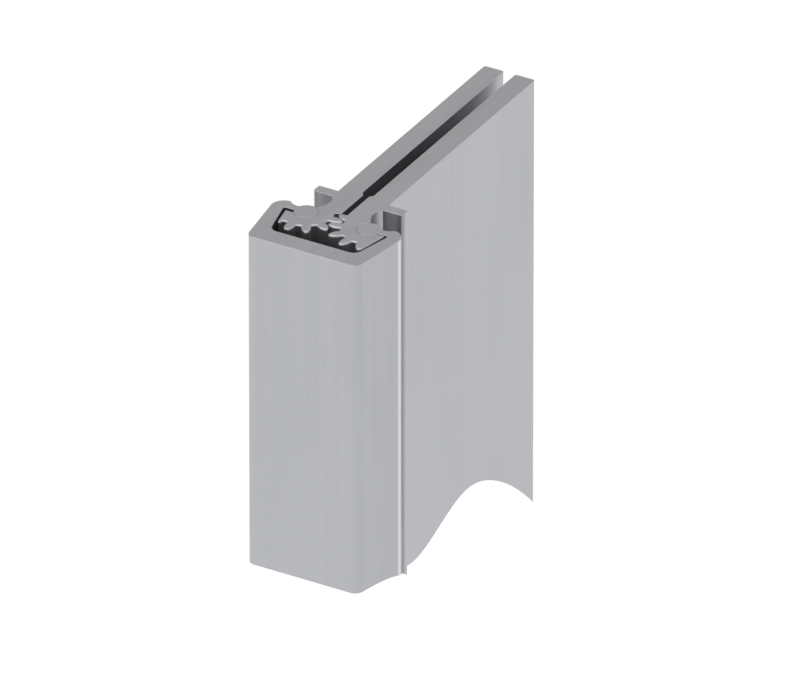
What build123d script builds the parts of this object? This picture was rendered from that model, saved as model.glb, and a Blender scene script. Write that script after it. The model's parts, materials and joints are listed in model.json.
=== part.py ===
"""A length of geared continuous hinge: two geared leaves, the cap that clamps them together,
the thrust bearing that carries the door's weight, and the screw that locks the cap to the bearing.

Section frame, in which every outline is drawn: X = 0 is the plane midway between the two leaves,
Y = 0 is the line through the two pivot axes, +Y points along the closed leaves, away from the cap.
Row frame, in which the parts are written: the origin is on the frame leaf's mounting face, halfway
across the leaf and level with the middle of the bearing. Both frames have the same directions, and +Z is up.
All sizes are in millimetres. The hinge is drawn closed, with the leaves parallel.
"""
from build123d import *
from math import acos, asin, cos, degrees, pi, radians, sin, sqrt, tan
import os

# Leaves
CLOSED_WIDTH = 7.94        # both leaves and the gap between them: the 5/16 in door clearance
LEAF_THICKNESS = 3.07
LEAF_WIDTH = 40.00         # from the lip's seat to the free edge, inside a 1 3/4 in door
LEAF_EDGE_RADIUS = 0.30
PAD_GAP = 0.92             # gap between the thicker stretches of the leaves, beside the gears
PAD_END_Y = 7.70           # where the thicker stretch starts to step back
PAD_STEP_END_Y = 8.30
LIP_SEAT_Y = 7.02          # back of the lip, which bears on the door's or the frame's face
LIP_REACH = 6.98           # the lip's end, from the mid plane
LIP_THICKNESS = 1.57
LIP_TIP_RADIUS = 0.30
NECK_WAIST = (3.38, 4.00)  # the neck's outer side is hollow: its deepest point,
HOLLOW_RADIUS = 3.41       # the radius from there towards the pivot
HOLLOW_TOP_RADIUS = 2.08   # and the radius from there towards the lip
NOSE_X = 4.08              # the neck's nose, beside the cap's bead, ends at this line

# Gears
TEETH = 12                 # on a full circle
PIVOT_SPACING = 9.86
PRESSURE_ANGLE = 25.0
BACKLASH = 0.12            # taken off each tooth's thickness, at the pitch circle
TIP_HEIGHT = 0.90          # above the pitch circle, in modules
ROOT_DEPTH = 1.25          # below the pitch circle, in modules
ROOT_FILLET = 0.18
GEAR_TOP_Y = -1.10         # the gear segment's edge under the cap's arm, on the frame leaf
DOOR_GEAR_TOP_Y = -0.60    # the same on the door leaf
GEAR_END_TOP_HALF = 7.54   # the gear segment's cut-off end, beside the cap's wall: at the top
GEAR_END_SLOPE = 0.206     # and how much it leans in, per millimetre
GEAR_END_CORNER = (0.64, 0.85)  # the corner cut off its end, along X and Y
GEAR_END_FOOT = 0.90       # how far in from its end it meets the cavity's front
DOOR_END_Y = -5.00         # where the cut-off end of each leaf's gear meets its last tooth
FRAME_END_Y = -4.20
DOOR_LAST_X = 6.27         # the door leaf's last tooth is backed by a web from this line outwards
WEB_TOP_Y = -2.50
WEB_ROOT_X = 0.80          # the web's top starts this far outside the pivot
TOOTH_SINK = 0.40          # a tooth is drawn this far into its gear's root circle
MESH_REACH = 2.0           # the gear is kept this far past the mid plane, in modules
MESH_TOP_Y = 2.00          # the teeth stop here, where the pad starts
DOOR_PAD_START_Y = 1.50    # the door leaf's first tooth runs into its pad a little lower
PAD_ROOT = 2.0             # the pad's own width, before it joins the neck

# Cap
BEAD_RADIUS = 1.70         # the cap's rounded edges, about which the leaves turn
BEAD_CLEARANCE = 0.06
CAP_FRONT_Y = -9.75
CAP_BACK_Y = 1.36
CAP_FRONT_HALF = 8.68      # at the sharp corner
CAP_BACK_HALF = 10.32      # at the sharp corner
CAP_FRONT_RADIUS = 1.25
CAP_BACK_RADIUS = 1.90
CAVITY_FRONT_Y = -6.75
CAVITY_FRONT_HALF = 6.73
CAVITY_BACK_HALF = 8.21
CAVITY_FRONT_RADIUS = 1.30
CAVITY_BACK_RADIUS = 0.35
ARM_UNDER_Y = -0.42
VALLEY_CENTRE = (6.85, 2.34)   # the dip between the arm's shoulder and its bead
VALLEY_RADIUS = 1.60

# Thrust bearing and lock screw
BEARING_Z = -33.0
NOTCH_HEIGHT = 12.70
NOTCH_DEPTH_Y = 3.00       # the notch in the leaves reaches back to this line
BEARING_END_CLEARANCE = 0.05
BEARING_CLEARANCE = 0.08
TONGUE_BACK_Y = 2.20
TONGUE_HALF = 3.80
TONGUE_RADIUS = 0.50
TONGUE_FOOT_Y = -4.75      # where the tongue starts, inside the block
SCREW_RADIUS = 1.45
SCREW_BORE_RADIUS = 1.50
SCREW_LENGTH = 6.00
SCREW_POINT = 0.55
SCREW_CUP_RADIUS = 0.55
SOCKET_ACROSS_FLATS = 1.50
SOCKET_DEPTH = 1.60

# Lower end: the break line, which leans across the leaves. Each point has its Y, its depth below the top
# at the door leaf's outer face and how much higher it is at the frame leaf's.
BREAK_LINE = [(-12.0, 51.4, 0.0), (-4.0, 51.9, 0.0), (0.0, 52.9, 0.0), (6.6, 57.1, 0.0),
              (13.9, 59.5, 0.8), (21.5, 57.3, 2.4), (28.5, 55.5, 4.2), (35.8, 57.8, 5.2),
              (41.5, 61.8, 5.6), (49.0, 69.2, 5.6)]
BREAK_REACH = 12.0         # X to which the break cut is carried on both sides
STOCK_LENGTH = 80.0        # the blank, before the lower end is cut

# Cutters and joins
CUTTER = 40.0              # larger than any section
NOTCH_REACH = 12.0         # the notch's cutter starts this far in front of the pivots
OVERLAP = 1.0              # how far joined outlines overlap and cutters pass what they cut

MODULE = PIVOT_SPACING / TEETH
PIVOT_X = PIVOT_SPACING / 2
GAP_HALF = CLOSED_WIDTH / 2 - LEAF_THICKNESS
LEAF_END_Y = LIP_SEAT_Y + LEAF_WIDTH
GROOVE_RADIUS = BEAD_RADIUS + BEAD_CLEARANCE
TO_ROW = Pos(CLOSED_WIDTH / 2, -LIP_SEAT_Y - LEAF_WIDTH / 2, -BEARING_Z)


def polar(radius, angle, centre=(0.0, 0.0)):
    """The point at that radius and angle, in degrees, about centre."""
    return (centre[0] + radius * cos(radians(angle)), centre[1] + radius * sin(radians(angle)))


def outline(points, radii=None):
    """A face with those corners, each rounded to its own radius where radii are given."""
    if radii is None:
        return make_face(Polyline(*points, close=True))
    return make_face(FilletPolyline(*points, radius=radii, close=True))


def flank_half_angle(radius):
    """Half the angle, in degrees, that a tooth takes up at that radius on its involute."""
    base = PIVOT_X * cos(radians(PRESSURE_ANGLE))
    here = acos(min(1.0, base / radius))
    at_pitch = tan(radians(PRESSURE_ANGLE)) - radians(PRESSURE_ANGLE)
    half = (pi * MODULE / 2 - BACKLASH) / (2 * PIVOT_X)
    return degrees(half + at_pitch - (tan(here) - here))


def tooth(angle):
    """One tooth, pointing along angle, from inside the root circle to the tip circle."""
    root, tip = PIVOT_X - ROOT_DEPTH * MODULE, PIVOT_X + TIP_HEIGHT * MODULE
    base = PIVOT_X * cos(radians(PRESSURE_ANGLE))
    middle = (base + tip) / 2
    at_base = flank_half_angle(base)
    at_middle, at_tip = flank_half_angle(middle), flank_half_angle(tip)
    inside = root - TOOTH_SINK
    edges = [
        Line(polar(inside, angle - at_base), polar(base, angle - at_base)),
        ThreePointArc(
            polar(base, angle - at_base), polar(middle, angle - at_middle), polar(tip, angle - at_tip)),
        ThreePointArc(polar(tip, angle - at_tip), polar(tip, angle), polar(tip, angle + at_tip)),
        ThreePointArc(
            polar(tip, angle + at_tip), polar(middle, angle + at_middle), polar(base, angle + at_base)),
        Line(polar(base, angle + at_base), polar(inside, angle + at_base)),
        Line(polar(inside, angle + at_base), polar(inside, angle - at_base)),
    ]
    return make_face(Curve() + edges)


def gear(first_angle):
    """A full gear about the origin, with one tooth pointing along first_angle."""
    root = PIVOT_X - ROOT_DEPTH * MODULE
    wheel = Circle(root)
    for n in range(TEETH):
        wheel += tooth(first_angle + n * 360 / TEETH)
    feet = [v for v in wheel.vertices() if abs(v.X ** 2 + v.Y ** 2 - root ** 2) < 1e-4]
    return fillet(feet, ROOT_FILLET)


def gear_end_half(y):
    """How far the gear segment's cut-off end is from the mid plane at that height."""
    return GEAR_END_TOP_HALF + GEAR_END_SLOPE * (y - GEAR_TOP_Y)


def gear_segment(first_angle, end_y, top_y):
    """The part of the right-hand gear that the leaf keeps: under the bead and towards the other gear."""
    left, end = -MESH_REACH * MODULE, gear_end_half(end_y)
    kept = outline([
        (PIVOT_X, 0), (PIVOT_X, top_y), (gear_end_half(top_y), top_y), (end, end_y),
        (end - GEAR_END_CORNER[0], end_y - GEAR_END_CORNER[1]), (end - GEAR_END_FOOT, CAVITY_FRONT_Y),
        (left, CAVITY_FRONT_Y), (left, MESH_TOP_Y), (NOSE_X, MESH_TOP_Y), (NOSE_X, 0),
    ])
    return (Pos(PIVOT_X, 0) * gear(first_angle)) & kept


def neck_side():
    """The neck's hollow outer side, from the nose up to the lip's front: two arcs that meet at the waist."""
    front = LIP_SEAT_Y - LIP_THICKNESS
    low = NECK_WAIST[0] + HOLLOW_RADIUS
    high = NECK_WAIST[0] + HOLLOW_TOP_RADIUS
    low_at = lambda x: (x, NECK_WAIST[1] - sqrt(HOLLOW_RADIUS ** 2 - (low - x) ** 2))
    high_end = (high - sqrt(HOLLOW_TOP_RADIUS ** 2 - (front - NECK_WAIST[1]) ** 2), front)
    high_turn = degrees(asin((front - NECK_WAIST[1]) / HOLLOW_TOP_RADIUS)) / 2
    high_middle = polar(HOLLOW_TOP_RADIUS, 180 - high_turn, (high, NECK_WAIST[1]))
    return high_end, [
        ThreePointArc(high_end, high_middle, NECK_WAIST),
        ThreePointArc(NECK_WAIST, low_at((NECK_WAIST[0] + NOSE_X) / 2), low_at(NOSE_X)),
    ]


def leaf_section(first_angle, end_y, top_y, pad_start):
    """The right-hand leaf's outline: plate, lip, neck with its pad and hollow, groove and gear segment."""
    outer, pad, front = CLOSED_WIDTH / 2, PAD_GAP / 2, LIP_SEAT_Y - LIP_THICKNESS
    plate = outline(
        [(GAP_HALF, PAD_STEP_END_Y - OVERLAP), (GAP_HALF, LEAF_END_Y),
         (outer, LEAF_END_Y), (outer, PAD_STEP_END_Y - OVERLAP)],
        [0, LEAF_EDGE_RADIUS, LEAF_EDGE_RADIUS, 0])
    lip = outline(
        [(outer - OVERLAP, LIP_SEAT_Y), (LIP_REACH, LIP_SEAT_Y),
         (LIP_REACH, front), (outer - OVERLAP, front)],
        [0, LIP_TIP_RADIUS, LIP_TIP_RADIUS, 0])
    side_top, side = neck_side()
    corners = [(NOSE_X, 0), (pad, 0), (pad, PAD_END_Y), (GAP_HALF, PAD_STEP_END_Y), (outer, PAD_STEP_END_Y),
               (outer, front), side_top]
    edges = [Line(side[-1] @ 1, corners[0])]
    edges += [Line(here, there) for here, there in zip(corners, corners[1:]) if here != there]
    neck = make_face(Curve() + edges + side) & Pos(0, MESH_TOP_Y + CUTTER / 2) * Rectangle(CUTTER, CUTTER)
    nose = outline([
        (pad, pad_start), (pad + PAD_ROOT, pad_start), (pad + PAD_ROOT, 0),
        (NOSE_X, 0), (NOSE_X, MESH_TOP_Y), (pad, MESH_TOP_Y)])
    leaf = plate + lip + neck + nose + gear_segment(first_angle, end_y, top_y)
    return leaf - Pos(PIVOT_X, 0) * Circle(GROOVE_RADIUS)


def door_leaf_section():
    """The right-hand leaf's outline, whose teeth straddle the line between the pivots."""
    web = outline([
        (PIVOT_X + WEB_ROOT_X, WEB_TOP_Y), (gear_end_half(WEB_TOP_Y), WEB_TOP_Y),
        (gear_end_half(DOOR_END_Y), DOOR_END_Y), (DOOR_LAST_X, DOOR_END_Y)])
    return leaf_section(180 + 180 / TEETH, DOOR_END_Y, DOOR_GEAR_TOP_Y, DOOR_PAD_START_Y) + web


def frame_leaf_section():
    """The left-hand leaf's outline, with a tooth on the line between the pivots."""
    return mirror(leaf_section(180, FRAME_END_Y, GEAR_TOP_Y, MESH_TOP_Y), Plane.YZ)


def cap_section():
    """The cap's outline: a channel with thick front corners and two arms, each ending in a bead."""
    front, back = (CAP_FRONT_HALF, CAP_FRONT_Y), (CAP_BACK_HALF, CAP_BACK_Y)
    shell = outline(
        [(-front[0], front[1]), front, back, (-back[0], back[1])],
        [CAP_FRONT_RADIUS, CAP_FRONT_RADIUS, CAP_BACK_RADIUS, CAP_BACK_RADIUS])
    mouth = Pos(0, CAP_BACK_Y) * Rectangle(2 * PIVOT_X, 2 * (CAP_BACK_Y - ARM_UNDER_Y + OVERLAP))
    shell = shell - cavity(0) - mouth
    for side in (-1, 1):
        shell -= Pos(side * VALLEY_CENTRE[0], VALLEY_CENTRE[1]) * Circle(VALLEY_RADIUS)
    for side in (-1, 1):
        shell += Pos(side * PIVOT_X, 0) * Circle(BEAD_RADIUS)
    return shell


def cavity(clearance):
    """The hollow inside the cap, drawn in by a clearance all round."""
    front, back = CAVITY_FRONT_HALF - clearance, CAVITY_BACK_HALF - clearance
    low, high = CAVITY_FRONT_Y + clearance, ARM_UNDER_Y - clearance
    return outline(
        [(-front, low), (front, low), (back, high), (-back, high)],
        [CAVITY_FRONT_RADIUS, CAVITY_FRONT_RADIUS, CAVITY_BACK_RADIUS, CAVITY_BACK_RADIUS])


def bearing_section():
    """The bearing's outline: it fills the cap's hollow, hugs both beads and has a tongue between them."""
    tongue = outline(
        [(-TONGUE_HALF, TONGUE_FOOT_Y), (TONGUE_HALF, TONGUE_FOOT_Y),
         (TONGUE_HALF, TONGUE_BACK_Y), (-TONGUE_HALF, TONGUE_BACK_Y)],
        [0, 0, TONGUE_RADIUS, TONGUE_RADIUS])
    block = cavity(BEARING_CLEARANCE) + tongue
    for side in (-1, 1):
        block -= Pos(side * PIVOT_X, 0) * Circle(GROOVE_RADIUS)
    return block


def break_profile(x):
    """What is below the break line in the plane across X at x."""
    lean = (CLOSED_WIDTH / 2 - x) / CLOSED_WIDTH
    first, last = BREAK_LINE[0][0], BREAK_LINE[-1][0]
    low = -STOCK_LENGTH - OVERLAP
    line = Edge.make_spline([(y, rise * lean - depth) for y, depth, rise in BREAK_LINE],
                            parameters=[(y - first) / (last - first) for y, depth, rise in BREAK_LINE])
    return Plane.YZ.offset(x) * make_face(Curve() + [
        line,
        Line(line @ 1, (last, low)),
        Line((last, low), (first, low)),
        Line((first, low), line @ 0),
    ])


def bar(section):
    """A section sawn off square at the top and along the break line at the bottom."""
    blank = extrude(section, -STOCK_LENGTH)
    offcut = loft([break_profile(-BREAK_REACH), break_profile(BREAK_REACH)], ruled=True)
    return blank - offcut


def bearing_notch():
    """The slot milled across both gear segments for the bearing."""
    depth = NOTCH_REACH + NOTCH_DEPTH_Y
    return Pos(0, NOTCH_DEPTH_Y - depth / 2, BEARING_Z) * Box(CUTTER, depth, NOTCH_HEIGHT)


def door_leaf():
    """The leaf that the door hangs on."""
    return bar(door_leaf_section()) - bearing_notch()


def frame_leaf():
    """The leaf that is fixed to the frame."""
    return bar(frame_leaf_section()) - bearing_notch()


def gear_cap():
    """The clamp that holds the two gears in mesh."""
    return bar(cap_section())


def thrust_bearing():
    """The block in the notch, with the lock screw's hole through its tongue."""
    height = NOTCH_HEIGHT - 2 * BEARING_END_CLEARANCE
    block = Pos(0, 0, BEARING_Z - height / 2) * extrude(bearing_section(), height)
    hole = Pos(0, 0, BEARING_Z) * Rot(90, 0, 0) * Cylinder(SCREW_BORE_RADIUS, CUTTER)
    return block - hole


def cap_lock_screw():
    """A cup-point set screw: its point bears on the cap's front wall, its socket faces the leaves."""
    body = Cylinder(SCREW_RADIUS, SCREW_LENGTH, align=(Align.CENTER, Align.CENTER, Align.MIN))
    body = chamfer(body.edges().filter_by(GeomType.CIRCLE).sort_by(Axis.Z)[0], SCREW_POINT)
    body -= Cone(SCREW_CUP_RADIUS, 0, SCREW_CUP_RADIUS, align=(Align.CENTER, Align.CENTER, Align.MIN))
    socket = RegularPolygon(SOCKET_ACROSS_FLATS / sqrt(3), 6)
    body -= Pos(0, 0, SCREW_LENGTH - SOCKET_DEPTH) * extrude(socket, SOCKET_DEPTH + OVERLAP)
    return Pos(0, CAVITY_FRONT_Y, BEARING_Z) * Rot(-90, 0, 0) * body


PARTS = {
    "frame_leaf": frame_leaf,
    "door_leaf": door_leaf,
    "gear_cap": gear_cap,
    "thrust_bearing": thrust_bearing,
    "cap_lock_screw": cap_lock_screw,
}

if __name__ == "__main__":
    os.makedirs("parts", exist_ok=True)
    for name, make in PARTS.items():
        export_step(TO_ROW * make(), f"parts/{name}.step")
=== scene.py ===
"""Dresses a cut length of geared continuous hinge and sets it in a plain studio.

The leaves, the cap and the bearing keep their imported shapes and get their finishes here: satin
clear-anodised aluminium with the long lines of the extrusion die, bare sawn ends, natural acetal.
The lock screw is cut here with its real thread. All lengths are in metres, unless a comment says otherwise.
"""

from __future__ import annotations

import json
import logging
import math
from dataclasses import dataclass, field
from enum import Enum

import bmesh
import bpy
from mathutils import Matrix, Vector

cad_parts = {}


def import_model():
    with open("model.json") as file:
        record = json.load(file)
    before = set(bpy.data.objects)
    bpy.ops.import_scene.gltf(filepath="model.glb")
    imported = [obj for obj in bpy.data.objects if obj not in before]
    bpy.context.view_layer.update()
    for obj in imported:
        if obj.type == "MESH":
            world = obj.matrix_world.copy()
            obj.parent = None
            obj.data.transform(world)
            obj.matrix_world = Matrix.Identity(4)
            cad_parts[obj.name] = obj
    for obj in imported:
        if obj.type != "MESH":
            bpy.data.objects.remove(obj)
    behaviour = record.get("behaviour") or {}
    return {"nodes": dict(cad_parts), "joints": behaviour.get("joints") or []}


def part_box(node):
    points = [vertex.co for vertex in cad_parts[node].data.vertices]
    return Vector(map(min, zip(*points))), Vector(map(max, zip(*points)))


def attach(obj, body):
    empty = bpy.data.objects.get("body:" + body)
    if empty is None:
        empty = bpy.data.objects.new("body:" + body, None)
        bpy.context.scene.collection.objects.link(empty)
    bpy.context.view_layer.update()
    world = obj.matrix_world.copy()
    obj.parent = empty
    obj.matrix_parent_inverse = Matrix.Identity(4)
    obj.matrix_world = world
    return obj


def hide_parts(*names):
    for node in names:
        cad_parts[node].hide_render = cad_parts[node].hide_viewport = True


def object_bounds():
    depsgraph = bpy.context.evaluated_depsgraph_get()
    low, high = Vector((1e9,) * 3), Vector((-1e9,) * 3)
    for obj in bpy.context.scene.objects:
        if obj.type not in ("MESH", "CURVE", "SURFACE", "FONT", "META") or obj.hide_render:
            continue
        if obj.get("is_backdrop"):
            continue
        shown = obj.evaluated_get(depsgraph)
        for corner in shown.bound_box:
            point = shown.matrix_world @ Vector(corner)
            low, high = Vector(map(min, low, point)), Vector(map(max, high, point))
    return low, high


log = logging.getLogger("hinge")

MM = 0.001
Pair = tuple[float, float]
Triple = tuple[float, float, float]
Colour = Triple


class Body(Enum):
    """The rigid bodies of the hinge."""

    FRAME_LEAF = "frame_leaf"
    CAP = "cap"
    DOOR_LEAF = "door_leaf"


class Slot(Enum):
    """A finish named in the record."""

    SCREW = "screw_steel"


class Socket(Enum):
    """Kinds of socket that a node group of this file may have."""

    VALUE = "NodeSocketFloat"
    VECTOR = "NodeSocketVector"


# --------------------------------------------------------------------------------------------- node helpers


class Tree:
    """A node tree that is filled from left to right.

    Attributes:
        COLUMN_WIDTH: Distance between one node and the next in the editor.
    """

    COLUMN_WIDTH = 190.0

    def __init__(self, tree: bpy.types.NodeTree) -> None:
        """Starts on a tree.

        Args:
            tree: The node tree to fill.
        """
        self.tree = tree
        self.column = 0

    def add(self, kind: str, **settings: object) -> bpy.types.Node:
        """Adds a node.

        Args:
            kind: The node's type name.
            **settings: Properties to set on it.

        Returns:
            The node.
        """
        node = self.tree.nodes.new(kind)
        node.location = (self.column * self.COLUMN_WIDTH, 0.0)
        self.column += 1
        for name, value in settings.items():
            setattr(node, name, value)
        return node

    def feed(self, node: bpy.types.Node, socket: str | int, source: object) -> None:
        """Sets or links an input.

        Args:
            node: The node whose input it is.
            socket: The input's name or number.
            source: A number, a colour, or the output to link from.
        """
        target = node.inputs[socket]
        if isinstance(source, bpy.types.NodeSocket):
            self.tree.links.new(source, target)
        else:
            target.default_value = source

    def math(self, operation: str, a: object, b: object = 0.0, clamp: bool = False) -> bpy.types.NodeSocket:
        """Adds a Math node.

        Args:
            operation: Its operation.
            a: First input.
            b: Second input.
            clamp: Whether the result is kept from 0 to 1.

        Returns:
            Its output.
        """
        node = self.add("ShaderNodeMath", operation=operation, use_clamp=clamp)
        self.feed(node, 0, a)
        self.feed(node, 1, b)
        return node.outputs[0]

    def span(self, value: object, low: float, high: float, to_low: float = 0.0,
             to_high: float = 1.0) -> bpy.types.NodeSocket:
        """Maps a range of values onto another, smoothly at both ends.

        Args:
            value: What to map.
            low: Start of the range.
            high: End of the range.
            to_low: What the start becomes.
            to_high: What the end becomes.

        Returns:
            The mapped value.
        """
        node = self.add("ShaderNodeMapRange", interpolation_type="SMOOTHSTEP")
        for name, source in (("Value", value), ("From Min", low), ("From Max", high),
                             ("To Min", to_low), ("To Max", to_high)):
            self.feed(node, name, source)
        return node.outputs["Result"]

    def blend(self, factor: object, a: object, b: object) -> bpy.types.NodeSocket:
        """Mixes two colours.

        Args:
            factor: 0 for the first, 1 for the second.
            a: First colour.
            b: Second colour.

        Returns:
            The mixed colour.
        """
        node = self.add("ShaderNodeMix", data_type="RGBA")
        self.feed(node, 0, factor)
        self.feed(node, 6, a if isinstance(a, bpy.types.NodeSocket) else (*a, 1.0))
        self.feed(node, 7, b if isinstance(b, bpy.types.NodeSocket) else (*b, 1.0))
        return node.outputs[2]

    def mix(self, factor: object, a: object, b: object) -> bpy.types.NodeSocket:
        """Mixes two numbers.

        Args:
            factor: 0 for the first, 1 for the second.
            a: First number.
            b: Second number.

        Returns:
            The mixed number.
        """
        node = self.add("ShaderNodeMix", data_type="FLOAT")
        self.feed(node, 0, factor)
        self.feed(node, 2, a)
        self.feed(node, 3, b)
        return node.outputs[0]

    def place(self) -> bpy.types.NodeSocket:
        """Adds the place on the object, in its own frame.

        Returns:
            The place.
        """
        return self.add("ShaderNodeTexCoord").outputs["Object"]

    def parts(self, vector: bpy.types.NodeSocket) -> bpy.types.NodeOutputs:
        """Takes a vector apart.

        Args:
            vector: The vector.

        Returns:
            Its parts, by the names X, Y and Z.
        """
        node = self.add("ShaderNodeSeparateXYZ")
        self.feed(node, 0, vector)
        return node.outputs

    def vector(self, x: object = 0.0, y: object = 0.0, z: object = 0.0) -> bpy.types.NodeSocket:
        """Puts a vector together.

        Args:
            x: Its first part.
            y: Its second part.
            z: Its third part.

        Returns:
            The vector.
        """
        node = self.add("ShaderNodeCombineXYZ")
        for axis, part in zip("XYZ", (x, y, z)):
            self.feed(node, axis, part)
        return node.outputs[0]

    def noise(self, vector: object, scale: object, detail: float = 2.0,
              roughness: float = 0.5) -> bpy.types.NodeSocket:
        """Adds a noise texture.

        Args:
            vector: Where it is read.
            scale: Cells per metre.
            detail: How many octaves it has.
            roughness: How strong the small octaves are.

        Returns:
            Its value, from 0 to 1.
        """
        node = self.add("ShaderNodeTexNoise")
        self.feed(node, "Vector", vector)
        self.feed(node, "Scale", scale)
        self.feed(node, "Detail", detail)
        self.feed(node, "Roughness", roughness)
        return node.outputs["Fac"]

    def bump(self, strength: float, distance: float, height: object,
             normal: bpy.types.NodeSocket | None = None) -> bpy.types.NodeSocket:
        """Adds a Bump node.

        Args:
            strength: How much of the bump shows.
            distance: How high it stands.
            height: Its height, from 0 to 1.
            normal: The normal it starts from, where it isn't the surface's own.

        Returns:
            The bumped normal.
        """
        node = self.add("ShaderNodeBump")
        self.feed(node, "Strength", strength)
        self.feed(node, "Distance", distance)
        self.feed(node, "Height", height)
        if normal is not None:
            self.feed(node, "Normal", normal)
        return node.outputs[0]

    def stretched(self, vector: object, scale: object) -> bpy.types.NodeSocket:
        """Scales a vector by axis.

        Args:
            vector: What to scale.
            scale: The three factors, or the output they come from.

        Returns:
            The scaled vector.
        """
        node = self.add("ShaderNodeVectorMath", operation="MULTIPLY")
        self.feed(node, 0, vector)
        self.feed(node, 1, scale)
        return node.outputs[0]


def new_group(name: str, inputs: tuple[str, ...],
              outputs: dict[str, Socket]) -> tuple[Tree, bpy.types.NodeOutputs, bpy.types.Node]:
    """Starts a shader node group with named sockets.

    Args:
        name: The group's name.
        inputs: Name of each input. All of them are numbers.
        outputs: Name to kind of each output.

    Returns:
        A Tree on the group, what comes in by its inputs' names, and its output node.
    """
    group = bpy.data.node_groups.new(name, "ShaderNodeTree")
    for label in inputs:
        group.interface.new_socket(name=label, in_out="INPUT", socket_type=Socket.VALUE.value)
    for label, kind in outputs.items():
        group.interface.new_socket(name=label, in_out="OUTPUT", socket_type=kind.value)
    tree = Tree(group)
    return tree, tree.add("NodeGroupInput").outputs, tree.add("NodeGroupOutput")


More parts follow.
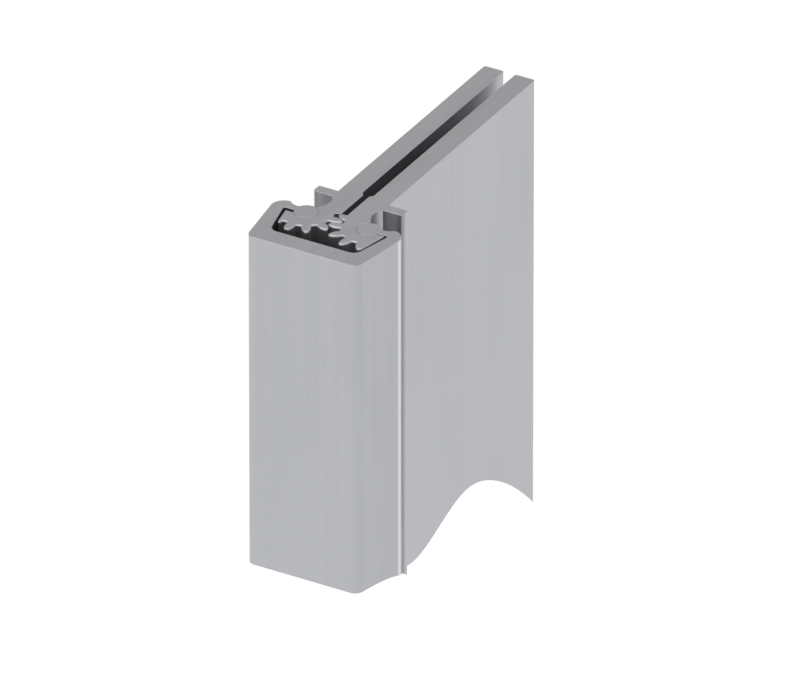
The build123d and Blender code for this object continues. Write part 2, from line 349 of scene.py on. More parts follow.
class Effects:
    """The effects that more than one finish uses, each made once."""

    def __init__(self) -> None:
        """Makes the groups."""
        self.die_lines = self._die_lines()
        self.etch = self._etch()
        self.edge_rub = self._edge_rub()
        self.saw_cut = self._saw_cut()
        self.handling = self._handling()
        self.zone = self._zone()

    @staticmethod
    def _die_lines(wide_per_metre: float = 1500.0, fine_share: float = 0.6,
                   streaks: Pair = (0.36, 0.66)) -> bpy.types.NodeTree:
        """Long fine lines along the bar, left by the extrusion die.

        Args:
            wide_per_metre: How many wider lines there are in a metre.
            fine_share: The fine lines' share of the height.
            streaks: Between which heights of the wider lines the streaks fade in.

        Returns:
            A group that puts out a height and a mask of the deeper lines.
        """
        t, given, out = new_group("DieLines", ("Lines per metre", "Waver"),
                                  {"Height": Socket.VALUE, "Streaks": Socket.VALUE})
        along = t.stretched(t.place(), t.vector(1.0, 1.0, given["Waver"]))
        fine = t.noise(along, given["Lines per metre"], detail=2.5)
        wide = t.noise(along, wide_per_metre, detail=3.0, roughness=0.6)
        t.feed(out, "Height", t.math("ADD", t.math("MULTIPLY", fine, fine_share),
                                     t.math("MULTIPLY", wide, 1.0 - fine_share)))
        t.feed(out, "Streaks", t.span(wide, *streaks))
        return t.tree

    @staticmethod
    def _etch(stretch: Triple = (1.0, 1.0, 0.35), clouds_per_metre: float = 95.0,
              cloud_range: Pair = (0.3, 0.7)) -> bpy.types.NodeTree:
        """The fine matt grain that etching leaves under the anodising.

        Args:
            stretch: How the clouds are drawn out along the bar.
            clouds_per_metre: How many clouds there are in a metre.
            cloud_range: Between which values of the noise the clouds fade in.

        Returns:
            A group that puts out a height and a slow cloudiness.
        """
        t, given, out = new_group("EtchedGrain", ("Grains per metre",),
                                  {"Height": Socket.VALUE, "Cloud": Socket.VALUE})
        place = t.place()
        cloud = t.noise(t.stretched(place, stretch), clouds_per_metre, detail=3.0)
        t.feed(out, "Height", t.noise(place, given["Grains per metre"], detail=1.0))
        t.feed(out, "Cloud", t.span(cloud, *cloud_range))
        return t.tree

    @staticmethod
    def _edge_rub(samples: int = 6, patches_per_metre: float = 700.0,
                  lean_range: Pair = (0.01, 0.22)) -> bpy.types.NodeTree:
        """Where edges are rubbed, from how far the rounded normal leans from the flat one.

        Args:
            samples: How often the rounded normal is sampled.
            patches_per_metre: How many patches the rubbing breaks up into in a metre.
            lean_range: Between which leans the rubbing fades in.

        Returns:
            A group that puts out a mask and the softened normal.
        """
        t, given, out = new_group("EdgeRub", ("Width", "Patchiness"),
                                  {"Mask": Socket.VALUE, "Normal": Socket.VECTOR})
        soft = t.add("ShaderNodeBevel", samples=samples)
        t.feed(soft, "Radius", given["Width"])
        lean = t.add("ShaderNodeVectorMath", operation="DOT_PRODUCT")
        t.feed(lean, 0, soft.outputs[0])
        t.feed(lean, 1, t.add("ShaderNodeNewGeometry").outputs["True Normal"])
        patch = t.math("MULTIPLY", t.noise(t.place(), patches_per_metre, detail=3.0), given["Patchiness"])
        rubbed = t.span(t.math("SUBTRACT", 1.0, lean.outputs["Value"]), *lean_range)
        t.feed(out, "Mask", t.math("SUBTRACT", rubbed, patch, clamp=True))
        t.feed(out, "Normal", soft.outputs[0])
        return t.tree

    @staticmethod
    def _saw_cut(facing: Pair = (0.45, 0.62), drift: float = 0.02, broad_per_metre: float = 420.0,
                 fine_share: float = 0.7, tone_range: Pair = (0.32, 0.68)) -> bpy.types.NodeTree:
        """The ends across the bar, with the arcs that the saw's blade leaves on them.

        Args:
            facing: Between which upward leans a face starts to count as sawn.
            drift: How much the arcs change along their length.
            broad_per_metre: How many broad arcs there are in a metre.
            fine_share: The fine arcs' share of the height.
            tone_range: Between which heights of the broad arcs the tone changes.

        Returns:
            A group that puts out a mask of the cut faces, the arcs' height and their tone.
        """
        t, given, out = new_group("SawCut", ("Blade radius", "Arcs per metre"),
                                  {"Mask": Socket.VALUE, "Height": Socket.VALUE, "Tone": Socket.VALUE})
        normal = t.parts(t.add("ShaderNodeTexCoord").outputs["Normal"])
        place = t.parts(t.place())
        across = t.math("ADD", place["X"], given["Blade radius"])
        reach = t.math("SQRT", t.math("ADD", t.math("MULTIPLY", across, across),
                                      t.math("MULTIPLY", place["Y"], place["Y"])))
        spot = t.vector(reach, t.math("MULTIPLY", place["Y"], drift))
        arcs = t.noise(spot, given["Arcs per metre"], detail=3.0)
        broad = t.noise(spot, broad_per_metre)
        t.feed(out, "Mask", t.span(t.math("ABSOLUTE", normal["Z"]), *facing))
        t.feed(out, "Height", t.math("ADD", t.math("MULTIPLY", arcs, fine_share),
                                     t.math("MULTIPLY", broad, 1.0 - fine_share)))
        t.feed(out, "Tone", t.span(broad, *tone_range))
        return t.tree

    @staticmethod
    def _handling(stretch: Triple = (1.0, 1.0, 0.6), smears_per_metre: float = 48.0,
                  smear_range: Pair = (0.5, 0.72)) -> bpy.types.NodeTree:
        """Faint smears from handling.

        Args:
            stretch: How the smears are drawn out along the bar.
            smears_per_metre: How many smears there are in a metre.
            smear_range: Between which values of the noise the smears fade in.

        Returns:
            A group that puts out a mask of them.
        """
        t, given, out = new_group("Handling", ("Amount",), {"Mask": Socket.VALUE})
        smear = t.noise(t.stretched(t.place(), stretch), smears_per_metre, detail=4.0, roughness=0.6)
        t.feed(out, "Mask", t.math("MULTIPLY", t.span(smear, *smear_range), given["Amount"]))
        return t.tree

    @staticmethod
    def _zone() -> bpy.types.NodeTree:
        """A round-cornered upright block of space, measured along X and Y from its middle.

        Returns:
            A group that puts out a mask, 1 inside the block.
        """
        t, given, out = new_group("Zone", ("Middle X", "Middle Y", "Half X", "Half Y", "Soft"),
                                  {"Mask": Socket.VALUE})
        place = t.parts(t.place())
        inside = []
        for axis in "XY":
            away = t.math("ABSOLUTE", t.math("SUBTRACT", place[axis], given[f"Middle {axis}"]))
            left = t.math("SUBTRACT", given[f"Half {axis}"], away)
            inside.append(t.math("DIVIDE", left, given["Soft"], clamp=True))
        t.feed(out, "Mask", t.math("MULTIPLY", *inside))
        return t.tree


# ------------------------------------------------------------------------------------------------- finishes


def start_material(name: str) -> tuple[bpy.types.Material, Tree, bpy.types.Node]:
    """Makes an empty node material.

    Args:
        name: Its name.

    Returns:
        The material, a Tree on it and its Principled BSDF.
    """
    material = bpy.data.materials.new(name)
    material.use_nodes = True
    material.node_tree.nodes.clear()
    t = Tree(material.node_tree)
    shader = t.add("ShaderNodeBsdfPrincipled")
    output = t.add("ShaderNodeOutputMaterial")
    t.tree.links.new(shader.outputs[0], output.inputs["Surface"])
    return material, t, shader


def place_group(t: Tree, group: bpy.types.NodeTree, **values: object) -> bpy.types.NodeOutputs:
    """Places a node group in a material.

    Args:
        t: The material's tree.
        group: The group.
        **values: Numbers or outputs to feed it, with underscores for the spaces in the inputs' names.

    Returns:
        What it puts out, by its outputs' names.
    """
    node = t.add("ShaderNodeGroup", node_tree=group)
    for name, value in values.items():
        t.feed(node, name.replace("_", " "), value)
    return node.outputs


@dataclass(frozen=True)
class Patch:
    """An upright block of the hinge whose surface has another tone.

    Attributes:
        middle: Its middle, along X and Y.
        half: Half its size, along X and Y.
        tone: The colour it takes.
        strength: How much of that colour it takes.
        edge: Extra width of its rubbed edges.
        soft: Over what distance its border fades.
    """

    middle: Pair
    half: Pair
    tone: Colour
    strength: float
    edge: float = 0.0
    soft: float = 0.05 * MM

    def place(self, t: Tree, effects: Effects) -> bpy.types.NodeSocket:
        """Places the patch's mask in a material.

        Args:
            t: The material's tree.
            effects: The shared node groups.

        Returns:
            The mask.
        """
        zone = place_group(t, effects.zone, Middle_X=self.middle[0], Middle_Y=self.middle[1],
                           Half_X=self.half[0], Half_Y=self.half[1], Soft=self.soft)
        return zone["Mask"]


@dataclass(frozen=True)
class SatinAluminium:
    """Extruded aluminium, etched and clear anodised, then sawn to length.

    Attributes:
        name: The material's name.
        skin: Colour of the anodised sides.
        skin_dark: Colour of the sides' darker streaks.
        cut: Colour of the sawn ends.
        cut_dark: Colour of the darker saw arcs.
        rubbed: Colour of rubbed edges.
        roughness: Roughness of the sides.
        cut_roughness: Roughness of the ends.
        roughness_range: How far below and above it the sides go where they are cloudy.
        cut_roughness_range: How far below and above it the ends go along the saw's arcs.
        cut_heights: The saw arcs' heights that take the ends' lowest and highest roughness.
        smeared: What handling adds to the roughness.
        polished: What rubbing takes off it.
        lines_per_metre: How many fine die lines there are in a metre.
        waver: How much the die lines change along the bar.
        line_depth: Depth of the die lines.
        streaked: How strong their darker streaks are.
        grains_per_metre: How many grains the etch has in a metre.
        grain_height: Height of the grain, against the die lines.
        blade_radius: Radius of the saw's blade.
        arcs_per_metre: How many arcs the saw leaves in a metre.
        smears: How strong the smears from handling are.
        edge: Width of the rubbed edges.
        patchiness: How much the rubbing is broken up.
        rub: How much of the rubbed colour the edges take.
        bump: How much the relief shows.
        patches: Where the surface has another tone.
    """

    name: str
    skin: Colour = (0.462, 0.467, 0.490)
    skin_dark: Colour = (0.446, 0.451, 0.474)
    cut: Colour = (0.398, 0.402, 0.413)
    cut_dark: Colour = (0.366, 0.370, 0.381)
    rubbed: Colour = (0.72, 0.725, 0.74)
    roughness: float = 0.36
    cut_roughness: float = 0.44
    roughness_range: Pair = (0.02, 0.03)
    cut_roughness_range: Pair = (0.04, 0.05)
    cut_heights: Pair = (0.3, 0.7)
    smeared: float = 0.05
    polished: float = 0.10
    lines_per_metre: float = 5200.0
    waver: float = 0.012
    line_depth: float = 0.004 * MM
    streaked: float = 0.8
    grains_per_metre: float = 9000.0
    grain_height: float = 0.35
    blade_radius: float = 0.15
    arcs_per_metre: float = 3100.0
    smears: float = 0.5
    edge: float = 0.12 * MM
    patchiness: float = 0.35
    rub: float = 0.55
    bump: float = 0.35
    patches: tuple[Patch, ...] = ()

    def make(self, effects: Effects) -> bpy.types.Material:
        """Makes the material.

        Args:
            effects: The shared node groups.

        Returns:
            The material.
        """
        material, t, shader = start_material(self.name)
        lines = place_group(t, effects.die_lines, Lines_per_metre=self.lines_per_metre, Waver=self.waver)
        grain = place_group(t, effects.etch, Grains_per_metre=self.grains_per_metre)
        saw = place_group(t, effects.saw_cut, Blade_radius=self.blade_radius,
                          Arcs_per_metre=self.arcs_per_metre)
        smears = place_group(t, effects.handling, Amount=self.smears)
        streaks = t.math("MULTIPLY", lines["Streaks"], self.streaked)
        side = t.blend(streaks, self.skin, self.skin_dark)
        width: object = self.edge
        for patch in self.patches:
            mask = patch.place(t, effects)
            width = t.math("ADD", width, t.math("MULTIPLY", mask, patch.edge))
            side = t.blend(t.math("MULTIPLY", mask, patch.strength), side, patch.tone)
        rub = place_group(t, effects.edge_rub, Width=width, Patchiness=self.patchiness)

        faces = t.blend(saw["Mask"], side, t.blend(saw["Tone"], self.cut, self.cut_dark))
        colour = t.blend(t.math("MULTIPLY", rub["Mask"], self.rub), faces, self.rubbed)
        t.feed(shader, "Base Color", colour)

        below, above = self.roughness_range
        cloudy = t.span(grain["Cloud"], 0.0, 1.0, self.roughness - below, self.roughness + above)
        side_rough = t.math("ADD", cloudy, t.math("MULTIPLY", smears["Mask"], self.smeared))
        below, above = self.cut_roughness_range
        cut_rough = t.span(saw["Height"], *self.cut_heights, self.cut_roughness - below,
                           self.cut_roughness + above)
        rough = t.mix(saw["Mask"], side_rough, cut_rough)
        t.feed(shader, "Roughness", t.math("SUBTRACT", rough,
                                           t.math("MULTIPLY", rub["Mask"], self.polished), clamp=True))

        side_height = t.math("ADD", lines["Height"], t.math("MULTIPLY", grain["Height"], self.grain_height))
        height = t.mix(saw["Mask"], side_height, saw["Height"])
        t.feed(shader, "Normal", t.bump(self.bump, self.line_depth, height, rub["Normal"]))
        t.feed(shader, "Metallic", 1.0)
        return material


@dataclass(frozen=True)
class NaturalAcetal:
    """Machined natural acetal.

    Attributes:
        name: The material's name.
        body: Its colour.
        shaded: The colour of its cloudier patches.
        rubbed: Colour of rubbed edges.
        roughness: Its lowest and highest roughness.
        grains_per_metre: How many grains its surface has in a metre.
        cutter_radius: Radius of the cutter that faced its ends.
        arcs_per_metre: How many arcs the cutter leaves in a metre.
        edge: Width of the rubbed edges.
        patchiness: How much the rubbing is broken up.
        rub: How much of the rubbed colour the edges take.
        bump: How much the relief shows.
        relief: Height of the relief.
        glow: How much light goes into it.
        depth: How far each colour of light goes in.
    """

    name: str = "natural_acetal"
    body: Colour = (0.80, 0.785, 0.73)
    shaded: Colour = (0.72, 0.70, 0.64)
    rubbed: Colour = (0.9, 0.89, 0.85)
    roughness: Pair = (0.38, 0.5)
    grains_per_metre: float = 5200.0
    cutter_radius: float = 10.0 * MM
    arcs_per_metre: float = 2200.0
    edge: float = 0.2 * MM
    patchiness: float = 0.3
    rub: float = 0.4
    bump: float = 0.4
    relief: float = 0.006 * MM
    glow: float = 0.08
    depth: Triple = (0.8 * MM, 0.7 * MM, 0.5 * MM)

    def make(self, effects: Effects) -> bpy.types.Material:
        """Makes the material.

        Args:
            effects: The shared node groups.

        Returns:
            The material.
        """
        material, t, shader = start_material(self.name)
        grain = place_group(t, effects.etch, Grains_per_metre=self.grains_per_metre)
        rub = place_group(t, effects.edge_rub, Width=self.edge, Patchiness=self.patchiness)
        saw = place_group(t, effects.saw_cut, Blade_radius=self.cutter_radius,
                          Arcs_per_metre=self.arcs_per_metre)
        tint = t.blend(grain["Cloud"], self.body, self.shaded)
        t.feed(shader, "Base Color", t.blend(t.math("MULTIPLY", rub["Mask"], self.rub), tint, self.rubbed))
        t.feed(shader, "Roughness", t.span(grain["Cloud"], 0.0, 1.0, *self.roughness))
        height = t.math("ADD", grain["Height"], t.math("MULTIPLY", saw["Mask"], saw["Height"]))
        t.feed(shader, "Normal", t.bump(self.bump, self.relief, height, rub["Normal"]))
        t.feed(shader, "Subsurface Weight", self.glow)
        t.feed(shader, "Subsurface Radius", self.depth)
        return material


@dataclass(frozen=True)
class PlainSteel:
    """Turned steel with a thin film of oil.

    Attributes:
        name: The material's name.
        bright: Its colour.
        dull: The colour of its duller patches.
        rubbed: Colour of rubbed edges.
        roughness: Its lowest and highest roughness.
        grains_per_metre: How many grains its surface has in a metre.
        smears: How strong the smears of oil are.
        edge: Width of the rubbed edges.
        patchiness: How much the rubbing is broken up.
        bump: How much the relief shows.
        relief: Height of the relief.
    """

    name: str = "plain_steel"
    bright: Colour = (0.50, 0.49, 0.47)
    dull: Colour = (0.33, 0.32, 0.31)
    rubbed: Colour = (0.68, 0.67, 0.65)
    roughness: Pair = (0.26, 0.42)
    grains_per_metre: float = 7000.0
    smears: float = 1.0
    edge: float = 0.05 * MM
    patchiness: float = 0.5
    bump: float = 0.3
    relief: float = 0.003 * MM

    def make(self, effects: Effects) -> bpy.types.Material:
        """Makes the material.

        Args:
            effects: The shared node groups.

        Returns:
            The material.
        """
        material, t, shader = start_material(self.name)
        grain = place_group(t, effects.etch, Grains_per_metre=self.grains_per_metre)
        rub = place_group(t, effects.edge_rub, Width=self.edge, Patchiness=self.patchiness)
        smears = place_group(t, effects.handling, Amount=self.smears)
        tint = t.blend(t.math("MAXIMUM", grain["Cloud"], smears["Mask"]), self.bright, self.dull)
        t.feed(shader, "Base Color", t.blend(rub["Mask"], tint, self.rubbed))
        t.feed(shader, "Roughness", t.span(grain["Cloud"], 0.0, 1.0, *self.roughness))
        t.feed(shader, "Normal", t.bump(self.bump, self.relief, grain["Height"]))
        t.feed(shader, "Metallic", 1.0)
        return material


@dataclass(frozen=True)
class PaleFloor:
    """Smooth pale studio floor.

    Attributes:
        name: The material's name.
        tone: Its colour.
        mottle: How dark its faint mottling is, against that colour.
        mottles_per_metre: How many mottles it has in a metre.
        roughness: Its roughness.
    """

    name: str = "pale_floor"
    tone: Colour = (0.93, 0.93, 0.93)
    mottle: float = 0.995
    mottles_per_metre: float = 3.0
    roughness: float = 0.9

    def make(self) -> bpy.types.Material:
        """Makes the material.

        Returns:
            The material.
        """
        material, t, shader = start_material(self.name)
        darker = tuple(part * self.mottle for part in self.tone)
        mottling = t.noise(t.place(), self.mottles_per_metre)
        t.feed(shader, "Base Color", t.blend(mottling, self.tone, darker))
        t.feed(shader, "Roughness", self.roughness)
        t.feed(shader, "Specular IOR Level", 0.0)
        return material


# ---------------------------------------------------------------------------------------------------- parts


def dress(nodes: dict[str, bpy.types.Object], name: str, material: bpy.types.Material) -> None:
    """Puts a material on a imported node.

    Args:
        nodes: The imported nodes.
        name: Which one.
        material: What to put on it.
    """
    shown = nodes[name]
    for place in shown.material_slots:
        place.material = material
    if not shown.material_slots:
        shown.data.materials.append(material)
    low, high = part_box(name)
    size = (high - low) / MM
    log.info("%s: %.2f x %.2f x %.2f mm, %s", name, *size, material.name)


@dataclass
class Leaf:
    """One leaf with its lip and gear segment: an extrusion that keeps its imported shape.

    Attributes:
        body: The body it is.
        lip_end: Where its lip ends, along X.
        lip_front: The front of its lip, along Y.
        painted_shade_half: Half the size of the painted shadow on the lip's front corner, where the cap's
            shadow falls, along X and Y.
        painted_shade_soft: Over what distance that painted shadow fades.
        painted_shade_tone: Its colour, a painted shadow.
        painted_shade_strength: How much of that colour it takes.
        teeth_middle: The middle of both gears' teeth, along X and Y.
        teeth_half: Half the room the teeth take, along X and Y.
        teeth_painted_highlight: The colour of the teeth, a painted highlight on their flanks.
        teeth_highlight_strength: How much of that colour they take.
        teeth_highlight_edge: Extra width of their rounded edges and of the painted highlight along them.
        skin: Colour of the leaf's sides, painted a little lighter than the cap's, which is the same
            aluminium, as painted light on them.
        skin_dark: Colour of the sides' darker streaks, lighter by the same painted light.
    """

    body: Body
    lip_end: float
    lip_front: float = -21.57 * MM
    # Painted shadow on the lip's front corner, where the cap's shadow falls.
    painted_shade_half: Pair = (0.9 * MM, 0.95 * MM)
    painted_shade_soft: float = 0.6 * MM
    painted_shade_tone: Colour = (0.30, 0.303, 0.315)
    painted_shade_strength: float = 0.95
    teeth_middle: Pair = (3.97 * MM, -29.2 * MM)
    teeth_half: Pair = (7.8 * MM, 3.4 * MM)
    # Painted highlight on the teeth: a lighter colour and wider bright edges.
    teeth_painted_highlight: Colour = (0.66, 0.665, 0.68)
    teeth_highlight_strength: float = 0.6
    teeth_highlight_edge: float = 0.38 * MM
    # Painted light: the leaf's sides are coloured a little lighter than the cap's same aluminium.
    skin: Colour = (0.480, 0.485, 0.508)
    skin_dark: Colour = (0.464, 0.469, 0.492)

    def finish(self) -> SatinAluminium:
        """The leaf's finish: a painted shadow on the lip's front corner, next to the cap, and a painted
        highlight on the teeth.

        Returns:
            The finish.
        """
        # Painted shadow: the lip's front corner next to the cap is darkened in colour where the cap's
        # shadow falls.
        painted_shade_corner = Patch((self.lip_end, self.lip_front), self.painted_shade_half, self.painted_shade_tone,
                            self.painted_shade_strength, soft=self.painted_shade_soft)
        # Painted highlight: the teeth take a lighter colour and wider bright edges, standing in for light
        # on their flanks.
        teeth = Patch(self.teeth_middle, self.teeth_half, self.teeth_painted_highlight, self.teeth_highlight_strength,
                      edge=self.teeth_highlight_edge)
        return SatinAluminium(f"satin_aluminium_{self.body.value}", skin=self.skin,
                              skin_dark=self.skin_dark, patches=(painted_shade_corner, teeth))

    def dress(self, nodes: dict[str, bpy.types.Object], effects: Effects) -> None:
        """Puts the finish on the leaf.

        Args:
            nodes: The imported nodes.
            effects: The shared node groups.
        """
        dress(nodes, self.body.value, self.finish().make(effects))


@dataclass
class LockScrew:
    """The cup-point set screw that locks the cap to the bearing, cut with its real thread.

    Attributes:
        crest: Radius over the thread.
        root: Radius at the bottom of the thread.
        pitch: Advance in one turn.
        socket: The hex socket's width across its flats.
        socket_depth: Depth of the socket.
        cup: Radius of the cup at the point.
        cup_depth: Depth of the cup.
        point: Length of the cone behind the cup.
        drill_point: Depth of the drill's cone at the bottom of the socket.
        mouth: How much wider than the socket its mouth is.
        mouth_depth: Depth of the mouth.
        wall: Least thickness of metal between the mouth and the thread's bottom.
        flank: How steep the thread's flanks are, which leaves its crests and its bottom flat.
        steps: Divisions of one turn.
        rings: Divisions of one pitch.
        sharp: The angle from which an edge is shown sharp, in degrees.
        finish: The screw's finish.
    """

    crest: float = 1.45 * MM
    root: float = 1.18 * MM
    pitch: float = 0.50 * MM
    socket: float = 1.50 * MM
    socket_depth: float = 1.60 * MM
    cup: float = 0.55 * MM
    cup_depth: float = 0.44 * MM
    point: float = 0.55 * MM
    drill_point: float = 0.25 * MM
    mouth: float = 0.05 * MM
    mouth_depth: float = 0.06 * MM
    wall: float = 0.02 * MM
    flank: float = 1.35
    steps: int = 48
    rings: int = 14
    sharp: float = 34.0
    finish: PlainSteel = field(default_factory=PlainSteel)

    def radius(self, along: float, turn: float, length: float) -> float:
        """The screw's radius at a place on its side.

        Args:
            along: Distance from the point.
            turn: Fraction of a turn.
            length: The screw's length.

        Returns:
            The radius.
        """
        phase = (along / self.pitch - turn) % 1.0
        ridge = 1.0 - abs(2.0 * phase - 1.0)
        rise = self.flank * ridge - (self.flank - 1.0) / 2.0
        cut = self.root + (self.crest - self.root) * min(1.0, max(0.0, rise))
        start = self.cup + (self.crest - self.cup) * min(1.0, along / self.point)
        end = self.root + (self.crest - self.root) * min(1.0, (length - along) / (0.5 * self.pitch))
        return min(cut, start, end)

    def build(self, low: Vector, high: Vector) -> bpy.types.Object:
        """Builds the screw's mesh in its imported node's box, with its point towards -Y.

        Args:
            low: The box's low corner.
            high: The box's high corner.

        Returns:
            The screw.
        """
        length = high.y - low.y
        middle = (low + high) / 2
        rings = int(round(length / self.pitch * self.rings))
        work = bmesh.new()

        def spot(radius: float, angle: float, along: float) -> bmesh.types.BMVert:
            """Adds a vertex at that radius, angle and distance from the point."""
            return work.verts.new((middle.x + radius * math.cos(angle), low.y + along,
                                   middle.z + radius * math.sin(angle)))

        def bridge(one: list[bmesh.types.BMVert], two: list[bmesh.types.BMVert]) -> None:
            """Joins two closed rings of the same count with quads."""
            count = len(one)
            for i in range(count):
                work.faces.new((one[i], one[(i + 1) % count], two[(i + 1) % count], two[i]))

        side = []
        for row in range(rings + 1):
            along = length * row / rings
            side.append([spot(self.radius(along, i / self.steps, length), math.tau * i / self.steps, along)
                         for i in range(self.steps)])
        for here, there in zip(side, side[1:]):
            bridge(here, there)

        cup_bottom = spot(0.0, 0.0, self.cup_depth)
        for i in range(self.steps):
            work.faces.new((side[0][(i + 1) % self.steps], side[0][i], cup_bottom))

        def hexagon(angle: float) -> float:
            """Radius of the socket's wall at an angle."""
            sector = math.pi / 3
            return self.socket / 2 / math.cos((angle + sector / 2) % sector - sector / 2)

        angles = [math.tau * i / self.steps for i in range(self.steps)]
        mouth = [spot(min(hexagon(a) + self.mouth, self.root - self.wall), a, length) for a in angles]
        rim = [spot(hexagon(a), a, length - self.mouth_depth) for a in angles]
        floor = [spot(hexagon(a), a, length - self.socket_depth) for a in angles]
        bridge(side[-1], mouth)
        bridge(mouth, rim)
        bridge(rim, floor)
        drill_point = spot(0.0, 0.0, length - self.socket_depth - self.drill_point)
        for i in range(self.steps):
            work.faces.new((floor[i], floor[(i + 1) % self.steps], drill_point))
        bmesh.ops.recalc_face_normals(work, faces=work.faces)
        mesh = bpy.data.meshes.new("lock_screw")
        work.to_mesh(mesh)
        work.free()
        screw = bpy.data.objects.new("lock_screw", mesh)
        bpy.context.scene.collection.objects.link(screw)
        mesh.shade_smooth()
        mesh.set_sharp_from_angle(angle=math.radians(self.sharp))
        return screw

    def fit(self, effects: Effects) -> None:
        """Builds, dresses and places the screw.

        Args:
            effects: The shared node groups.
        """
        screw = self.build(*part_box("cap_lock_screw"))
        screw.data.materials.append(self.finish.make(effects))
        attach(screw, Body.CAP.value)
        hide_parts("cap_lock_screw")
        log.info("lock_screw: %d faces", len(screw.data.polygons))


@dataclass
class CapAssembly:
    """The cap with the bearing and the lock screw that ride in it.

    Attributes:
        highlight_places: The cap's widest places, along X, where a highlight is painted on its rounded back
            corners.
        highlight_y: The middle of those places, along Y.
        highlight_half: Half their size, along X and Y.
        highlight_soft: Over what distance they fade.
        painted_highlight_tone: Their colour, a painted highlight.
        bearing: The bearing's finish.
        screw: The lock screw.
    """

    # Painted highlight on the cap's rounded back corners.
    highlight_places: Pair = (-6.33 * MM, 14.27 * MM)
    highlight_y: float = -27.56 * MM
    highlight_half: Pair = (0.5 * MM, 0.46 * MM)
    highlight_soft: float = 0.22 * MM
    painted_highlight_tone: Colour = (0.69, 0.695, 0.72)
    bearing: NaturalAcetal = field(default_factory=NaturalAcetal)
    screw: LockScrew = field(default_factory=LockScrew)

    def dress(self, nodes: dict[str, bpy.types.Object], effects: Effects) -> None:
        """Puts the finishes on and fits the screw.

        Args:
            nodes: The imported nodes.
            effects: The shared node groups.
        """
        # Painted highlight: the cap's rounded back corners are coloured bright where light catches them.
        rubbed = tuple(Patch((x, self.highlight_y), self.highlight_half, self.painted_highlight_tone,
                             strength=1.0, soft=self.highlight_soft) for x in self.highlight_places)
        dress(nodes, "gear_cap", SatinAluminium("satin_aluminium_cap", patches=rubbed).make(effects))
        dress(nodes, "thrust_bearing", self.bearing.make(effects))
        self.screw.fit(effects)


# --------------------------------------------------------------------------------------------------- studio


@dataclass(frozen=True)
class Softbox:
    """A square area light that looks at the hinge.

    Attributes:
        name: Its name.
        place: Where it stands.
        size: Its side.
        power: Its power in watts.
    """

    name: str
    place: Triple
    size: float
    power: float

    def make(self, aim: Vector) -> None:
        """Makes the light.

        Args:
            aim: The point it looks at.
        """
        data = bpy.data.lights.new(self.name, "AREA")
        data.shape = "SQUARE"
        data.size = self.size
        data.energy = self.power
        lamp = bpy.data.objects.new(self.name, data)
        bpy.context.scene.collection.objects.link(lamp)
        lamp.location = self.place
        lamp.rotation_euler = (aim - Vector(self.place)).to_track_quat("-Z", "Y").to_euler()


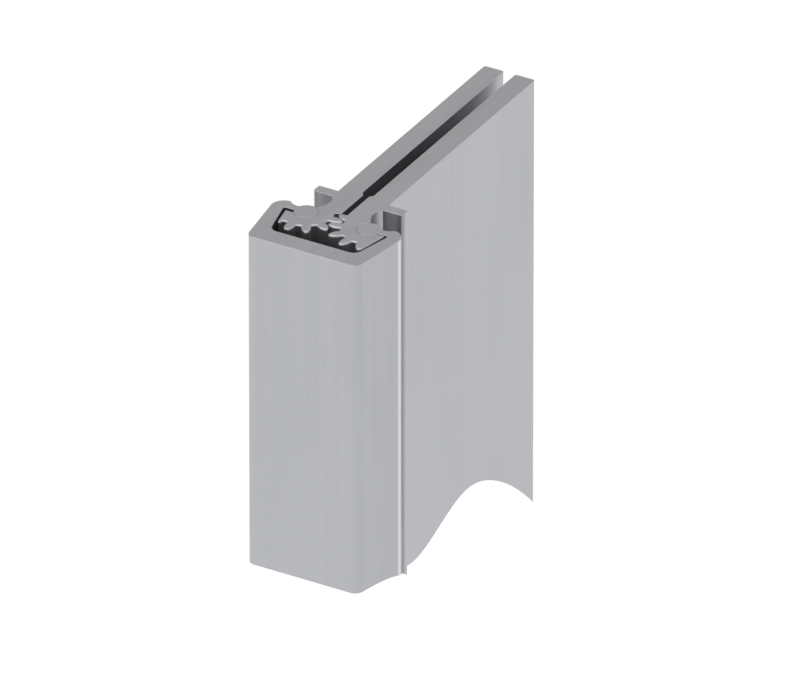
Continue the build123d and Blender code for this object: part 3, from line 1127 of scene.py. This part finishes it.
@dataclass
class Studio:
    """The floor, the soft light and the camera.

    Attributes:
        azimuth: The camera's angle round the hinge, in degrees.
        elevation: Its angle above the horizon, in degrees.
        lens: Its focal length, in millimetres, long enough for hardly any perspective.
        clip: The nearest and farthest it sees, as shares of its distance from the hinge.
        view_width: Width of what it sees, at the hinge.
        aim_right: How far right of the cap's top its aim is.
        aim_down: How far below it.
        drop: How far the floor is below the hinge, which is too narrow to stand on its own.
        floor_radius: Radius of the round floor.
        floor_sides: How many sides its circle has.
        sky: Height, from 0 below to 1 above, and brightness of each stop of the light all round.
        sky_blue: How much bluer than grey that light is.
        softboxes: The lamps.
    """

    azimuth: float = 30.0
    elevation: float = 30.0
    lens: float = 1300.0
    clip: Pair = (0.1, 4.0)
    view_width: float = 108.62 * MM
    aim_right: float = 8.47 * MM
    aim_down: float = 17.47 * MM
    drop: float = 0.26
    floor_radius: float = 1.6
    floor_sides: int = 96
    sky: tuple[Pair, ...] = ((0.0, 1.02), (0.50, 1.02), (0.62, 0.62), (0.80, 0.58), (1.0, 0.85))
    sky_blue: float = 1.005
    softboxes: tuple[Softbox, ...] = (
        Softbox("overhead_softbox", (-0.3, -0.2, 1.9), 2.4, 24.0),
        Softbox("front_softbox", (-1.2, -1.7, 0.7), 1.2, 3.0),
        Softbox("rim_softbox", (0.08, 1.5, -0.02), 0.4, 1.0),
    )

    def camera(self, top_centre: Vector) -> None:
        """Makes the camera.

        Args:
            top_centre: The middle of the hinge's top, on the line through both pivots.
        """
        a, e = math.radians(self.azimuth), math.radians(self.elevation)
        back = Vector((math.sin(a) * math.cos(e), -math.cos(a) * math.cos(e), math.sin(e)))
        right = Vector((math.cos(a), math.sin(a), 0.0))
        up = back.cross(right)
        data = bpy.data.cameras.new("camera")
        data.lens = self.lens
        distance = self.view_width * self.lens / data.sensor_width
        aim = top_centre + right * self.aim_right - up * self.aim_down
        eye = bpy.data.objects.new("camera", data)
        bpy.context.scene.collection.objects.link(eye)
        eye.location = aim + back * distance
        eye.rotation_euler = (-back).to_track_quat("-Z", "Y").to_euler()
        data.clip_start, data.clip_end = (share * distance for share in self.clip)
        bpy.context.scene.camera = eye

    def floor(self, low: Vector, high: Vector) -> None:
        """Makes the floor.

        Args:
            low: The hinge's low corner.
            high: The hinge's high corner.
        """
        work = bmesh.new()
        bmesh.ops.create_circle(work, cap_ends=True, radius=self.floor_radius, segments=self.floor_sides)
        mesh = bpy.data.meshes.new("studio_floor")
        work.to_mesh(mesh)
        work.free()
        floor = bpy.data.objects.new("studio_floor", mesh)
        bpy.context.scene.collection.objects.link(floor)
        floor.location = ((low.x + high.x) / 2, (low.y + high.y) / 2, low.z - self.drop)
        floor.data.materials.append(PaleFloor().make())
        floor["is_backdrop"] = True

    def world(self) -> None:
        """Makes the soft light that comes from all round: white from below, greyer higher up."""
        world = bpy.data.worlds.new("studio_world")
        bpy.context.scene.world = world
        world.use_nodes = True
        world.node_tree.nodes.clear()
        t = Tree(world.node_tree)
        direction = t.parts(t.add("ShaderNodeTexCoord").outputs["Generated"])
        ramp = t.add("ShaderNodeValToRGB")
        for place, _ in self.sky[1:-1]:
            ramp.color_ramp.elements.new(place)
        for element, (place, tone) in zip(ramp.color_ramp.elements, self.sky):
            element.position = place
            element.color = (tone, tone, tone * self.sky_blue, 1.0)
        t.feed(ramp, 0, t.span(direction["Z"], -1.0, 1.0))
        light = t.add("ShaderNodeBackground")
        t.feed(light, "Color", ramp.outputs[0])
        t.feed(light, "Strength", 1.0)
        out = t.add("ShaderNodeOutputWorld")
        t.tree.links.new(light.outputs[0], out.inputs["Surface"])

    def build(self, low: Vector, high: Vector, top_centre: Vector) -> None:
        """Sets up the studio round the hinge.

        Args:
            low: The hinge's low corner.
            high: The hinge's high corner.
            top_centre: The middle of the hinge's top, on the line through both pivots.
        """
        self.camera(top_centre)
        self.floor(low, high)
        self.world()
        for softbox in self.softboxes:
            softbox.make((low + high) / 2)
        bpy.context.scene.view_settings.view_transform = "Standard"
        log.info("studio: camera at azimuth %.1f, elevation %.1f", self.azimuth, self.elevation)


def main() -> None:
    """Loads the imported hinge, dresses its parts, sets up the studio and notes the sizes."""
    logging.basicConfig(level=logging.INFO, format="%(name)s %(message)s")
    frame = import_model()
    cad_low, cad_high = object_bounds()
    effects = Effects()
    nodes = frame["nodes"]
    for leaf in (Leaf(Body.FRAME_LEAF, lip_end=-3.01 * MM), Leaf(Body.DOOR_LEAF, lip_end=10.95 * MM)):
        leaf.dress(nodes, effects)
    CapAssembly().dress(nodes, effects)
    pivots = [Vector(joint["pos_m"]) for joint in frame["joints"]]
    middle = sum(pivots, Vector()) / len(pivots)
    Studio().build(cad_low, cad_high, Vector((middle.x, middle.y, cad_high.z)))


if __name__ == "__main__":
    main()
